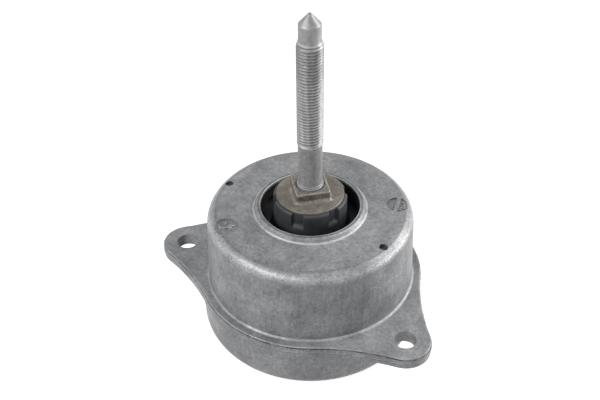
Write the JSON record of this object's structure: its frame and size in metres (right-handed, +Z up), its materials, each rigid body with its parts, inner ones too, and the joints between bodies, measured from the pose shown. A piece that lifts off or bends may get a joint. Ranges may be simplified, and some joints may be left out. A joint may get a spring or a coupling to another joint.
{
  "type": "hydraulic engine mount",
  "caption": "Fluid-damped rubber mount in a cast housing with two bolt ears and a threaded stud that carries an engine bracket.",
  "frame": {"origin": "on the stud's axis, in the plane of the housing's foot", "axes": "+Z up along the stud, X through the two ear holes, -Y towards the side that the ears are set to"},
  "size_m": [0.15, 0.1084, 0.1685],
  "materials": {
    "cast_housing": "die-cast and blasted, mottled grey, with bright worn edges",
    "zinc_stud": "dull grey zinc flake, rolled thread",
    "chromated_core": "tan passivated steel with bright worn corners",
    "buffer_rubber": "matt black moulded rubber",
    "spring_rubber": "matt black moulded rubber",
    "bellows_rubber": "thin matt rubber",
    "plain_steel": "pressed sheet steel",
    "plate_aluminium": "turned"
  },
  "bodies": {
    "housing_body": {"housing": "cast_housing", "bottom_cap": "plain_steel", "bellows_ring": "plain_steel", "bellows": "bellows_rubber", "lower_nozzle_plate": "plate_aluminium", "decoupler_membrane": "bellows_rubber", "upper_nozzle_plate": "plate_aluminium", "outer_ring": "plain_steel", "rubber_spring": "spring_rubber"},
    "core_body": {"core": "chromated_core", "stud": "zinc_stud", "stop_buffer": "buffer_rubber"}
  },
  "joints": [
    {"name": "core_travel", "type": "slide", "parent": "housing_body", "child": "core_body", "axis": [0, 0, 1], "range_m": [-0.007, 0.0037], "stiffness_N_per_m": 100000, "deforming": ["rubber_spring"]}
  ]
}
